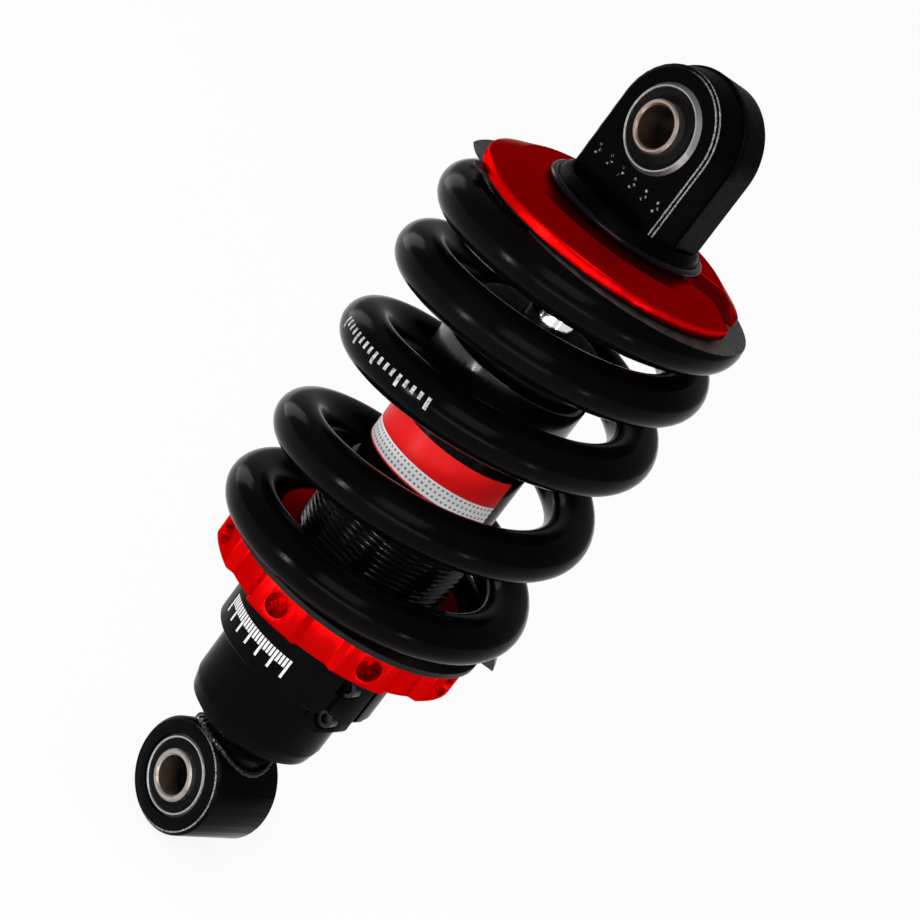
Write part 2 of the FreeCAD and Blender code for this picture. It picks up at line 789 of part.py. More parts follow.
def make_lower_spring_seat():
    return ring(
        adjuster_spigot_r + running_gap, seat_washer_r, adjuster_top_z + face_gap, spring_bottom_z
    )


# ---- spring --------------------------------------------------------------------------------------
def ease(x):
    """Smooth step from 0 to 1."""
    x = min(max(x, 0.0), 1.0)
    return x * x * (3 - 2 * x)


def spring_pitch(turn):
    """Rise per turn: closed at both ends, widest low down, then ever closer towards the top."""
    if turn < turns_to_widest:
        return pitch_lower_end + (pitch_lower - pitch_lower_end) * ease(turn / turns_to_widest)
    if turn < turns_to_narrow:
        share = (turn - turns_to_widest) / (turns_to_narrow - turns_to_widest)
        return pitch_lower + (pitch_upper - pitch_lower) * share
    share = (turn - turns_to_narrow) / (spring_turns - turns_to_narrow)
    return pitch_upper + (pitch_upper_end - pitch_upper) * ease(share)


def spring_path():
    """Points along the wire's centre line, a right-handed helix of uneven pitch."""
    count = round(spring_turns * sections_per_turn)
    step = spring_turns / count
    z = spring_bottom_z - spring_tip_drop
    points = []
    for number in range(count + 1):
        turn = number * step
        angle = math.radians(spring_start_angle + 360 * turn)
        points.append(V(spring_mean_r * math.cos(angle), spring_mean_r * math.sin(angle), z))
        z += spring_pitch(turn + step / 2) * step
    return points


def wire_sections(points):
    """Round sections square to the path, each started on the side away from the spring's axis."""
    sections = []
    last = len(points) - 1
    for number, centre in enumerate(points):
        along = (points[min(number + 1, last)] - points[max(number - 1, 0)]).normalize()
        across = along.cross(V(centre.x, centre.y, 0)).normalize()
        outward = across.cross(along)
        frame = FreeCAD.Matrix(
            outward.x, across.x, along.x, centre.x,
            outward.y, across.y, along.y, centre.y,
            outward.z, across.z, along.z, centre.z,
            0, 0, 0, 1,
        )
        circle = Part.makeCircle(wire_r)
        circle.Placement = FreeCAD.Placement(frame)
        sections.append(Part.Wire([circle]))
    return sections


def make_coil_spring():
    """Lofted one turn at a time through the sections, then ground flat at both ends."""
    sections = wire_sections(spring_path())
    turns = []
    for first in range(0, len(sections) - 1, sections_per_turn):
        turns.append(Part.makeLoft(sections[first:first + sections_per_turn + 1], True, True))
    wire = turns[0].multiFuse(turns[1:])
    reach = spring_mean_r + 2 * wire_r
    ground = Part.makeCylinder(reach, spring_top_z - spring_bottom_z, V(0, 0, spring_bottom_z))
    return wire.common(ground)


def make_upper_spring_seat():
    top = spring_top_z + face_gap + nylon_flange_thickness
    flange_bottom = spring_top_z + face_gap
    inner_r = nylon_skirt_r - nylon_skirt_wall
    seat = turned([
        (inner_r, top - nylon_flange_thickness - nylon_skirt_length),
        (nylon_skirt_r, top - nylon_flange_thickness - nylon_skirt_length),
        (nylon_skirt_r, flange_bottom), (nylon_flange_r, flange_bottom),
        (nylon_flange_r, top), (inner_r, top),
    ])
    half = nylon_tab_width / 2
    tab = Part.makeBox(
        nylon_tab_r - half, nylon_tab_width, nylon_flange_thickness, V(0, -half, flange_bottom)
    )
    tip = Part.makeCylinder(half, nylon_flange_thickness, V(nylon_tab_r - half, 0, flange_bottom))
    inside = Part.makeCylinder(nylon_skirt_r, nylon_flange_thickness, V(0, 0, flange_bottom))
    tab = turned_by(tab.fuse(tip).cut(inside), nylon_tab_angle)
    return seat.fuse(tab).removeSplitter()


# ---- retainer and upper mount --------------------------------------------------------------------
retainer_bottom_z = spring_top_z + face_gap + nylon_flange_thickness


def make_upper_spring_retainer():
    spigot_r = nylon_skirt_r - nylon_skirt_wall
    spigot_bottom_z = retainer_bottom_z - nylon_flange_thickness - nylon_skirt_length
    pocket_r = cap_r + retainer_pocket_gap
    pocket_top_z = retainer_top_z - retainer_plate
    body = turned([
        (0, retainer_top_z), (0, pocket_top_z), (pocket_r, pocket_top_z), (pocket_r, spigot_bottom_z),
        (spigot_r, spigot_bottom_z), (spigot_r, retainer_bottom_z), (retainer_rim_r, retainer_bottom_z),
        (retainer_rim_r, retainer_rim_top_z), (retainer_flat_r, retainer_top_z),
    ])
    half = retainer_slot_width / 2
    height = retainer_top_z - spigot_bottom_z
    end = Part.makeCylinder(half, height, V(0, 0, spigot_bottom_z))
    way = Part.makeBox(
        retainer_rim_r * 2, retainer_slot_width, height, V(0, -half, spigot_bottom_z)
    )
    slot = end.fuse(turned_by(way, retainer_slot_angle))
    return body.cut(slot)


def lug_outline(radius, y):
    """An arch of the given radius over the upper eye, down to the boss, in the plane at y."""
    foot_z = retainer_top_z + boss_height / 2
    left_foot = V(-radius, y, foot_z)
    right_foot = V(radius, y, foot_z)
    left = V(-radius, y, eye_to_eye)
    right = V(radius, y, eye_to_eye)
    arch = Part.Arc(left, V(0, y, eye_to_eye + radius), right).toShape()
    return Part.Wire([
        Part.makeLine(right_foot, left_foot),
        Part.makeLine(left_foot, left),
        arch,
        Part.makeLine(right, right_foot),
    ])


def lug_half(radius, face_y):
    """The lug from the parting plane, where it has the given radius, out to its face at face_y."""
    outward = math.copysign(1, face_y)
    shoulder_r = radius - lug_draft
    at_parting = lug_outline(radius, lug_parting_y)
    at_shoulder = lug_outline(shoulder_r, face_y - outward * lug_chamfer)
    at_face = lug_outline(shoulder_r - lug_chamfer, face_y)
    drafted = Part.makeLoft([at_parting, at_shoulder], True, True)
    chamfered = Part.makeLoft([at_shoulder, at_face], True, True)
    return drafted.fuse(chamfered)


def make_upper_mount():
    e = boss_edge
    boss_top_z = retainer_top_z + boss_height
    boss = turned([
        (0, retainer_top_z), (boss_r - e, retainer_top_z), (boss_r, retainer_top_z + e),
        (boss_top_r, boss_top_z - e), (boss_top_r - e, boss_top_z), (0, boss_top_z),
    ])
    near_half = lug_half(lug_r, -lug_thickness / 2)
    far_half = lug_half(lug_r + lug_half_step, lug_thickness / 2)
    body = boss.multiFuse([near_half, far_half])
    bore = Part.makeCylinder(
        upper_outer_sleeve_r, lug_thickness * 2, V(0, -lug_thickness, eye_to_eye), Y_AXIS
    )
    rod_hole = Part.makeCylinder(rod_thread_r, rod_thread_length, V(0, 0, retainer_top_z))
    return body.cut(bore).cut(rod_hole)


# ---- all nodes -----------------------------------------------------------------------------------
nodes = {
    "lower_bush_inner_sleeve": bolt_sleeve(lower_sleeve_r, 0),
    "lower_bush_rubber": bush_rubber(
        lower_sleeve_r, lower_outer_sleeve_r, lower_outer_sleeve_length, 0
    ),
    "lower_bush_outer_sleeve": outer_sleeve(lower_outer_sleeve_r, lower_outer_sleeve_length, 0),
    "lower_eye": make_lower_eye(),
    "lower_end_cap": make_lower_end_cap(),
    "gas_fill_screw": make_gas_fill_screw(),
    "damper_tube": make_damper_tube(),
    "sleeve_circlip": make_sleeve_circlip(),
    "clamp_collar": make_clamp_collar(),
    "clamp_screws": make_clamp_screws(),
    "threaded_sleeve": make_threaded_sleeve(),
    "rod_guide": make_rod_guide(),
    "guide_o_ring": make_guide_o_ring(),
    "rod_bushing": make_rod_bushing(),
    "rod_seal": make_rod_seal(),
    "gland_cap": make_gland_cap(),
    "dust_wiper": make_dust_wiper(),
    "bump_stop": make_bump_stop(),
    "floating_piston": make_floating_piston(),
    "floating_piston_o_ring": make_floating_piston_o_ring(),
    "piston_rod": make_piston_rod(),
    "top_out_bumper": make_top_out_bumper(),
    "backup_washers": make_backup_washers(),
    "compression_shims": shims(piston_top_z, 1),
    "piston": make_piston(),
    "piston_band": make_piston_band(),
    "rebound_shims": shims(piston_bottom_z, -1),
    "piston_nut": make_piston_nut(),
    "preload_adjuster": make_preload_adjuster(),
    "lower_spring_seat": make_lower_spring_seat(),
    "coil_spring": make_coil_spring(),
    "upper_spring_seat": make_upper_spring_seat(),
    "upper_spring_retainer": make_upper_spring_retainer(),
    "upper_mount": make_upper_mount(),
    "upper_bush_outer_sleeve": outer_sleeve(
        upper_outer_sleeve_r, upper_outer_sleeve_length, eye_to_eye
    ),
    "upper_bush_rubber": bush_rubber(
        upper_sleeve_r, upper_outer_sleeve_r, upper_outer_sleeve_length, eye_to_eye
    ),
    "upper_bush_inner_sleeve": bolt_sleeve(upper_sleeve_r, eye_to_eye),
}

for name, shape in nodes.items():
    shape.exportStep(f"parts/{name}.step")
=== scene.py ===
import json
import math
import bmesh
import bpy
from mathutils import Matrix, Vector


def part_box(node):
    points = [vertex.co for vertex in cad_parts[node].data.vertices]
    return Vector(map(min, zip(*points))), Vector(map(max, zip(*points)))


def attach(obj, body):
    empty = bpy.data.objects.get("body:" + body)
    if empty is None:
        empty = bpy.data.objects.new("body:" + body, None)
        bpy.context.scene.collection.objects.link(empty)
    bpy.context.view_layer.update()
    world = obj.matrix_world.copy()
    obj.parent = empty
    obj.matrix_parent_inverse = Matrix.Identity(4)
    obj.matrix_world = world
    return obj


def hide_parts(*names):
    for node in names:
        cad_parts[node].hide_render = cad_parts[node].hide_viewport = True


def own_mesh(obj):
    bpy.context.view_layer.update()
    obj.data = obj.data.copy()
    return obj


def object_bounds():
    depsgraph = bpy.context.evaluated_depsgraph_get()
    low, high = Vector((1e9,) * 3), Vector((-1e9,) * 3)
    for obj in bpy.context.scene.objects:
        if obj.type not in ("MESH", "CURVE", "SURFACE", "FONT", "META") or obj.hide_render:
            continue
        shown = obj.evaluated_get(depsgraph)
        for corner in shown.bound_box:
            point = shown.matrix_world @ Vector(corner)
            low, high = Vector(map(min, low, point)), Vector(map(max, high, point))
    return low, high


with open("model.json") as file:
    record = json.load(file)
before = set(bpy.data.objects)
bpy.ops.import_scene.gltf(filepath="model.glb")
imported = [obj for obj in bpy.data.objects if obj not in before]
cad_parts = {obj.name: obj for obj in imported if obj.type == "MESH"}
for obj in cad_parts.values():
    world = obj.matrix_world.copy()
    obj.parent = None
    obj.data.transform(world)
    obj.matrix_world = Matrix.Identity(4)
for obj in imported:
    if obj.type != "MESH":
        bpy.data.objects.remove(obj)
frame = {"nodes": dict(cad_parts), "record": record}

# Rear monoshock with a coil-over spring.  Metres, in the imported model's frame: the origin is the
# centre of the lower eye's bore and +Z runs along the damper's axis to the upper eye.

cad_low, cad_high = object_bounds()
MM = 0.001
nodes = frame["nodes"]
mounts = frame["record"]["mounts"]
eye_to_eye = mounts[1]["pos_m"][2]
bolt_bore_r = mounts[0]["dims"]["r_mm"] * MM
bolt_sleeve_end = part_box("lower_bush_inner_sleeve")[1].y    # from the middle of either bolt sleeve


# ---- node trees ----------------------------------------------------------------------------------
class Tree:
    """Short calls for building one material's node tree."""

    def __init__(self, name):
        self.material = bpy.data.materials.new(name)
        self.material.use_nodes = True
        self.nodes = self.material.node_tree.nodes
        self.links = self.material.node_tree.links
        self.shader = self.nodes["Principled BSDF"]
        coordinates = self.nodes.new("ShaderNodeTexCoord")
        self.place = coordinates.outputs["Object"]
        self.uv = coordinates.outputs["UV"]

    def join(self, source, socket):
        """Feeds a socket from a number, a tuple or another node's output."""
        if isinstance(source, (int, float, tuple, list)):
            socket.default_value = source
        else:
            self.links.new(source, socket)

    def set(self, **values):
        """Sets the shader's sockets: base_color=..., roughness=..., from anything join takes."""
        for key, value in values.items():
            name = key.replace("_", " ").title().replace("Ior", "IOR")
            self.join(value, self.shader.inputs[name])

    def math(self, operation, a, b=0.0, c=0.0):
        node = self.nodes.new("ShaderNodeMath")
        node.operation = operation
        for source, socket in zip((a, b, c), node.inputs):
            self.join(source, socket)
        return node.outputs[0]

    def between(self, value, low, high):
        """1 where the value lies between two numbers and 0 elsewhere."""
        above = self.math("GREATER_THAN", value, low)
        return self.math("MULTIPLY", above, self.math("LESS_THAN", value, high))

    def split(self, vector):
        node = self.nodes.new("ShaderNodeSeparateXYZ")
        self.join(vector, node.inputs[0])
        return node.outputs[0], node.outputs[1], node.outputs[2]

    def noise(self, scale, detail=3.0, roughness=0.5, vector=None):
        """Noise from 0 to 1; scale is in lumps per metre."""
        node = self.nodes.new("ShaderNodeTexNoise")
        node.inputs["Scale"].default_value = scale
        node.inputs["Detail"].default_value = detail
        node.inputs["Roughness"].default_value = roughness
        self.join(self.place if vector is None else vector, node.inputs["Vector"])
        return node.outputs["Fac"]

    def cells(self, scale):
        """Distance to the nearest of scattered points; scale is in points per metre."""
        node = self.nodes.new("ShaderNodeTexVoronoi")
        node.inputs["Scale"].default_value = scale
        self.join(self.place, node.inputs["Vector"])
        return node.outputs["Distance"]

    def ramp(self, source, low, high, to_low=0.0, to_high=1.0):
        """Maps low..high to to_low..to_high, clamped."""
        node = self.nodes.new("ShaderNodeMapRange")
        self.join(source, node.inputs["Value"])
        ends = (("From Min", low), ("From Max", high), ("To Min", to_low), ("To Max", to_high))
        for name, value in ends:
            node.inputs[name].default_value = value
        return node.outputs["Result"]

    def mix(self, share, a, b):
        """Colour a where share is 0 and b where it is 1."""
        node = self.nodes.new("ShaderNodeMix")
        node.data_type = "RGBA"
        self.join(share, node.inputs["Factor"])
        self.join(opaque(a), node.inputs[6])    # the colour sockets among the node's many
        self.join(opaque(b), node.inputs[7])
        return node.outputs[2]

    def bump(self, height, distance):
        """Bump of a height from 0 to 1 that stands for distance in metres."""
        node = self.nodes.new("ShaderNodeBump")
        node.inputs["Distance"].default_value = distance
        self.join(height, node.inputs["Height"])
        self.join(node.outputs[0], self.shader.inputs["Normal"])

    def turning_marks(self, centre=(0.0, 0.0, 0.0), axis="Z", scale=9000.0):
        """Tool marks of a lathe: noise that changes only with the distance from an axis and along
        it.  Gives the marks, that distance and the place along the axis."""
        shift = self.nodes.new("ShaderNodeVectorMath")
        shift.operation = "SUBTRACT"
        self.join(self.place, shift.inputs[0])
        self.join(centre, shift.inputs[1])
        x, y, z = self.split(shift.outputs["Vector"])
        across, along = ((x, y), z) if axis == "Z" else ((x, z), y)
        squares = [self.math("POWER", side, 2.0) for side in across]
        radius = self.math("SQRT", self.math("ADD", *squares))
        combine = self.nodes.new("ShaderNodeCombineXYZ")
        self.join(radius, combine.inputs[0])
        self.join(along, combine.inputs[1])
        return self.noise(scale, 2.0, 0.6, combine.outputs[0]), radius, along


def opaque(value):
    """A colour of three numbers with its alpha; anything else stays as it is."""
    return (*value, 1.0) if isinstance(value, tuple) and len(value) == 3 else value


def grey(level, cool=1.0):
    return (level, level, level * cool)


# ---- materials -----------------------------------------------------------------------------------
def gloss_black(name, base=0.0009, roughness=0.15, peel=0.02 * MM, specular=0.03):
    """Deep black powder coat with a fine orange peel and faint handling haze."""
    t = Tree(name)
    haze = t.noise(45.0, 5.0, 0.6)
    hazy = (base * 2.2, base * 2.1, base * 2.1)
    t.set(base_color=t.mix(t.ramp(haze, 0.4, 0.75), grey(base, 1.05), hazy))
    t.set(roughness=t.ramp(haze, 0.3, 0.8, roughness, roughness + 0.1))
    t.set(specular_ior_level=specular)
    t.bump(t.noise(1100.0, 2.0, 0.5), peel)
    return t.material


def cast_black():
    """Powder coat over a sand casting: a fine pitted skin that glints on its high spots."""
    t = Tree("cast_black")
    grain = t.noise(2200.0, 4.0, 0.65)
    pits = t.ramp(t.cells(1700.0), 0.1, 0.6)
    skin = t.math("MULTIPLY_ADD", pits, 0.6, t.math("MULTIPLY", grain, 0.8))
    tone = t.mix(t.ramp(grain, 0.4, 0.8), (0.0006, 0.0006, 0.0007), (0.0014, 0.0014, 0.0015))
    t.set(base_color=tone, specular_ior_level=0.015)
    t.set(roughness=t.ramp(t.noise(300.0), 0.3, 0.7, 0.22, 0.34))
    t.bump(skin, 0.07 * MM)
    return t.material


painted_highlight_side = (-4.0 * MM, 9.0 * MM)    # where along X the one-sided rubbing and painted highlight start and are full


def worn_and_highlight_paint(name, scale, from_low, from_high, bare_and_highlight, one_side=False):
    """Powder coat rubbed through in patches, lighter there as wear and painted highlight in one;
    with one_side the patches lie only on the side that faces +X, a painted highlight on that side.
    """
    t = Tree(name)
    # The patches show a lighter grey that is wear and painted highlight in one.
    rub_and_highlight = t.ramp(t.noise(scale, 3.0, 0.7), from_low, from_high)
    share = rub_and_highlight
    if one_side:
        # Painted highlight: the lighter patches are kept to the side that faces +X.
        share = t.math("MULTIPLY", rub_and_highlight, t.ramp(t.split(t.place)[0], *painted_highlight_side))
    t.set(base_color=t.mix(share, grey(0.001), bare_and_highlight))
    t.set(roughness=t.ramp(rub_and_highlight, 0.0, 1.0, 0.2, 0.35), specular_ior_level=0.06)
    t.bump(rub_and_highlight, 0.02 * MM)
    return t.material


def anodised_red():
    """Turned aluminium under a deep red anodised film."""
    t = Tree("red_anodised")
    marks, _, _ = t.turning_marks()
    cloud = t.ramp(t.noise(60.0, 3.0), 0.3, 0.7)
    t.set(base_color=t.mix(cloud, (0.52, 0.0012, 0.0014), (0.62, 0.0020, 0.0024)))
    t.set(metallic=1.0, specular_tint=(1.0, 0.12, 0.12, 1.0))
    t.set(roughness=t.ramp(marks, 0.2, 0.8, 0.23, 0.38))
    t.bump(marks, 0.005 * MM)
    return t.material


bore_lip = (0.1 * MM, 0.4 * MM)      # outside the bore, where its tint starts to end and has ended
painted_bore_shade = (7.5 * MM, 0.4 * MM)    # depths in from its mouth at which the painted shade is full and at which it has ended


def turned_steel(name, centre, tint, bore_tint=None):
    """Bright turned sleeve across the damper.  A bore keeps its own tint near its mouths and has
    painted shade, near black, in between."""
    t = Tree(name)
    marks, radius, along = t.turning_marks(centre, "Y", 6000.0)
    stain = t.noise(500.0, 5.0, 0.65)
    tone = tint
    if bore_tint is not None:
        inside = t.ramp(radius, *(bolt_bore_r + lip for lip in bore_lip), 1.0, 0.0)
        from_middle = t.math("ABSOLUTE", along)
        near_mouth = t.ramp(from_middle, *(bolt_sleeve_end - depth for depth in painted_bore_shade))
        # Painted shade: deep in the bore the colour goes near black; near its mouths it is the
        # bore's own tint.
        tone = t.mix(inside, tint, t.mix(near_mouth, (0.008, 0.005, 0.003), bore_tint))
    dull = t.mix(t.ramp(stain, 0.5, 0.75, 0.0, 0.5), tone, (0.10, 0.085, 0.07))
    t.set(base_color=dull, metallic=0.95, roughness=t.ramp(stain, 0.3, 0.7, 0.3, 0.55))
    t.bump(marks, 0.012 * MM)
    return t.material


def rubber(name, base=0.006, roughness=0.5, specular=0.12):
    """Moulded rubber or nylon with a faint bloom."""
    t = Tree(name)
    bloom = t.noise(260.0, 5.0, 0.6)
    bloomed = (base * 2.2, base * 2.15, base * 2.1)
    t.set(base_color=t.mix(t.ramp(bloom, 0.4, 0.8), grey(base), bloomed))
    t.set(roughness=t.ramp(bloom, 0.3, 0.7, roughness, roughness + 0.2))
    t.set(specular_ior_level=specular)
    t.bump(t.noise(2600.0, 3.0), 0.03 * MM)
    return t.material


def machined(name, tint, roughness=0.28):
    """Bare turned metal with a thin, uneven film of oil."""
    t = Tree(name)
    marks, _, _ = t.turning_marks(scale=5000.0)
    oil = t.ramp(t.noise(120.0, 4.0), 0.4, 0.7)
    t.set(base_color=t.mix(oil, tint, tuple(v * 0.8 for v in tint)), metallic=1.0)
    t.set(roughness=t.ramp(marks, 0.2, 0.8, roughness, roughness + 0.15))
    t.bump(marks, 0.01 * MM)
    return t.material


def chrome():
    """Hard chrome, ground along the rod, with hair-fine rings."""
    t = Tree("hard_chrome")
    marks, _, _ = t.turning_marks(scale=14000.0)
    smear = t.noise(90.0, 3.0)
    t.set(base_color=t.mix(smear, (0.74, 0.75, 0.77), (0.66, 0.67, 0.69)), metallic=1.0)
    t.set(roughness=t.ramp(smear, 0.3, 0.7, 0.06, 0.12))
    t.bump(marks, 0.0015 * MM)
    return t.material


def white_print():
    """Pad-printed ink, slightly worn through."""
    t = Tree("white_print")
    wear = t.noise(1800.0, 4.0, 0.7)
    t.set(base_color=t.mix(t.ramp(wear, 0.55, 0.75), grey(0.62), grey(0.20)))
    t.set(roughness=t.ramp(wear, 0.3, 0.7, 0.4, 0.6), specular_ior_level=0.2)
    t.bump(wear, 0.01 * MM)
    return t.material


# The film's white band, the part of it that carries rows of graduations, and the rows, all as
# shares of the film's height.
white_band = (0.035, 0.40)
marked_band = (0.075, 0.36)
mark_row_start = 0.06
mark_row_half_pitch = 0.055
mark_row_half_gap = 0.032
mark_half_pitch = 0.65 * MM
mark_half_gap = 0.34 * MM
mark_ink = 0.75


def label_film():
    """Glossy film: a red band over a white one that carries rows of plain grey graduations.
    UV: u is the length round the tube in metres and v runs from 0 at the lower edge to 1."""
    t = Tree("label_film")
    u, v, _ = t.split(t.uv)
    ink = t.noise(900.0, 3.0)
    red = t.mix(ink, (0.70, 0.006, 0.007), (0.78, 0.009, 0.010))
    white = t.mix(ink, (0.86, 0.86, 0.87), (0.92, 0.92, 0.93))
    rows = t.math("PINGPONG", t.math("SUBTRACT", v, mark_row_start), mark_row_half_pitch)
    line = t.math("GREATER_THAN", rows, mark_row_half_gap)
    tick = t.math("GREATER_THAN", t.math("PINGPONG", u, mark_half_pitch), mark_half_gap)
    marks = t.math("MULTIPLY", t.math("MULTIPLY", line, tick), t.between(v, *marked_band))
    printed = t.mix(t.math("MULTIPLY", marks, mark_ink), white, grey(0.05))
    t.set(base_color=t.mix(t.between(v, *white_band), red, printed))
    t.set(roughness=t.ramp(ink, 0.3, 0.7, 0.32, 0.42), specular_ior_level=0.10)
    t.bump(t.noise(150.0, 2.0), 0.02 * MM)
    return t.material


# ---- shapes --------------------------------------------------------------------------------------
def piece(name, mesh, body, material, slot, *replaced):
    """Adds a mesh, which is in the row frame, as a piece that rides on a body."""
    thing = bpy.data.objects.new(name, mesh)
    bpy.context.scene.collection.objects.link(thing)
    mesh.materials.append(material)
    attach(thing, body)
    if replaced:
        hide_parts(*replaced)
    return thing


def finish_mesh(mesh, angle=35):
    """Smooth faces, with edges over the angle kept sharp."""
    for face in mesh.polygons:
        face.use_smooth = True
    mesh.set_sharp_from_angle(angle=math.radians(angle))


def grid_mesh(name, rows, caps=False, looped=False, angle=35):
    """A mesh through rows of points, each row a closed loop.  The last row joins the first if
    looped is set, and the first and last rows are filled if caps is set."""
    width = len(rows[0])
    count = len(rows)
    points = [p for row in rows for p in row]
    faces = []
    for r in range(count if looped else count - 1):
        n = (r + 1) % count
        for c in range(width):
            d = (c + 1) % width
            faces.append((r * width + c, r * width + d, n * width + d, n * width + c))
    if caps:
        faces.append(tuple(reversed(range(width))))
        faces.append(tuple(range((count - 1) * width, count * width)))
    mesh = bpy.data.meshes.new(name)
    mesh.from_pydata(points, [], faces)
    mesh.validate()
    build = bmesh.new()
    build.from_mesh(mesh)
    bmesh.ops.recalc_face_normals(build, faces=build.faces)
    build.to_mesh(mesh)
    build.free()
    finish_mesh(mesh, angle)
    return mesh


def polar(r, angle, z):
    return Vector((r * math.cos(angle), r * math.sin(angle), z))


def circle(r, z, around):
    return [polar(r, 2 * math.pi * k / around, z) for k in range(around)]


off_axis = Vector((0.31, 0.17, 1.0)).normalized()    # no path here runs along it


def tube_along(path, radii, sides=12, looped=False):
    """Rows of points for a round tube along a path, for grid_mesh."""
    rows = []
    last = len(path) - 1
    for number, centre in enumerate(path):
        if looped:
            ahead, behind = path[(number + 1) % len(path)], path[number - 1]
        else:
            ahead, behind = path[min(number + 1, last)], path[max(number - 1, 0)]
        along = (ahead - behind).normalized()
        side = along.cross(off_axis).normalized()
        lift = along.cross(side)
        rows.append([
            centre + radii[number] * (math.cos(a) * side + math.sin(a) * lift)
            for a in (2 * math.pi * k / sides for k in range(sides))
        ])
    return rows


weld_distance = 0.001 * MM
sharp_from = math.radians(30)


def soften(name, width, segments=2):
    """Rounds the sharp edges of a CAD node by a modifier."""
    thing = nodes[name]
    weld = thing.modifiers.new("weld", "WELD")
    weld.merge_threshold = weld_distance
    bevel = thing.modifiers.new("edges", "BEVEL")
    bevel.width = width
    bevel.segments = segments
    bevel.limit_method = "ANGLE"
    bevel.angle_limit = sharp_from
    bevel.harden_normals = True


def dress(material, *names):
    """Puts a material on every slot of some CAD nodes."""
    for name in names:
        for slot in nodes[name].material_slots:
            slot.material = material


# ---- spring --------------------------------------------------------------------------------------
wire_r = 6.25 * MM
wire_sides = 40
steps_per_turn = 72
spring_turns = 5.49
spring_start = math.radians(35.5)
spring_tip_drop = 1.2 * MM    # how far the wire's middle starts under the ground end
flat_gap = 0.02 * MM          # between each ground end and its seat
pitch_lower_end = 7.6 * MM
pitch_lower = 30.4 * MM
pitch_upper = 15.3 * MM
pitch_upper_end = 10.4 * MM
turns_to_widest = 1.81
turns_to_narrow = 4.44


def ease(x):
    """A smooth step from 0 to 1."""
    x = min(max(x, 0.0), 1.0)
    return x * x * (3 - 2 * x)


def spring_pitch(turn):
    """Rise per turn: closed at both ends, widest low down, then ever closer towards the top."""
    if turn < turns_to_widest:
        return pitch_lower_end + (pitch_lower - pitch_lower_end) * ease(turn / turns_to_widest)
    if turn < turns_to_narrow:
        share = (turn - turns_to_widest) / (turns_to_narrow - turns_to_widest)
        return pitch_lower + (pitch_upper - pitch_lower) * share
    share = (turn - turns_to_narrow) / (spring_turns - turns_to_narrow)
    return pitch_upper + (pitch_upper_end - pitch_upper) * ease(share)


def spring_centre_line():
    """Points of the wire's centre line, each with its turn and its share of the spring's stroke.
    A coil gives way only as far as the gap to its neighbour, so the share follows that gap.  The
    ground ends lie on their seats and give way nowhere."""
    low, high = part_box("coil_spring")
    mean_r = (high.x - low.x) / 2 - wire_r
    count = round(spring_turns * steps_per_turn)
    step = spring_turns / count
    z = low.z - spring_tip_drop
    room = 0.0
    line = []
    for number in range(count + 1):
        turn = number * step
        line.append([polar(mean_r, spring_start + 2 * math.pi * turn, z), turn, room])
        pitch = spring_pitch(turn + step / 2)
        z += pitch * step
        if low.z + wire_r < z < high.z - wire_r:
            room += max(0.0, pitch - 2 * wire_r) * step
    for entry in line:
        entry[2] /= room
    return line


sawn_end, ground_end = 1, 2   # places of those materials on the spring


def spring_mesh():
    """The wire with both ends sawn off and ground flat, and each point's share of the stroke."""
    line = spring_centre_line()
    low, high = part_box("coil_spring")
    last = len(line) - 1
    mesh = bmesh.new()
    share = mesh.verts.layers.float.new("share")
    uv = mesh.loops.layers.uv.new("wire")
    rings = []
    for number, (centre, turn, moved) in enumerate(line):
        along = (line[min(number + 1, last)][0] - line[max(number - 1, 0)][0]).normalized()
        across = along.cross(Vector((centre.x, centre.y, 0))).normalized()
        outward = across.cross(along)
        ring = []
        for k in range(wire_sides):
            a = 2 * math.pi * k / wire_sides
            offset = wire_r * (math.cos(a) * outward + math.sin(a) * across)
            vert = mesh.verts.new(centre + offset)
            vert[share] = moved
            ring.append(vert)
        rings.append(ring)
    for number in range(last):
        here, there = rings[number], rings[number + 1]
        turn, next_turn = line[number][1], line[number + 1][1]
        for k in range(wire_sides):
            n = (k + 1) % wire_sides
            face = mesh.faces.new((here[k], here[n], there[n], there[k]))
            corners = ((turn, k), (turn, k + 1), (next_turn, k + 1), (next_turn, k))
            for loop, (u, v) in zip(face.loops, corners):
                loop[uv].uv = (u, v / wire_sides)
    mesh.faces.new(tuple(reversed(rings[0]))).material_index = sawn_end
    mesh.faces.new(tuple(rings[-1])).material_index = sawn_end
    for height, normal in ((low.z + flat_gap, (0, 0, -1)), (high.z - flat_gap, (0, 0, 1))):
        geometry = mesh.verts[:] + mesh.edges[:] + mesh.faces[:]
        cut = bmesh.ops.bisect_plane(
            mesh, geom=geometry, plane_co=(0, 0, height), plane_no=normal, clear_outer=True
        )
        edges = [e for e in cut["geom_cut"] if isinstance(e, bmesh.types.BMEdge)]
        filled = bmesh.ops.contextual_create(mesh, geom=edges)
        for face in filled["faces"]:
            face.material_index = ground_end
    bmesh.ops.recalc_face_normals(mesh, faces=mesh.faces)
    data = bpy.data.meshes.new("spring_coil")
    mesh.to_mesh(data)
    shares = [vert[share] for vert in mesh.verts]
    mesh.free()
    data.attributes.remove(data.attributes["share"])
    finish_mesh(data)
    return data, shares


print_first_turn = 2.560      # where the printed scale on the coil starts and ends, in turns
print_last_turn = 2.716
print_bars = 17
print_bar_width = 0.42        # share of the bars' pitch
print_bars_per_long = 4
print_middle = 0.985          # where it runs, as a share of the way round the wire
print_half_height = 0.040     # of a long bar
print_short = 0.6             # a short bar's height as a share of a long one's


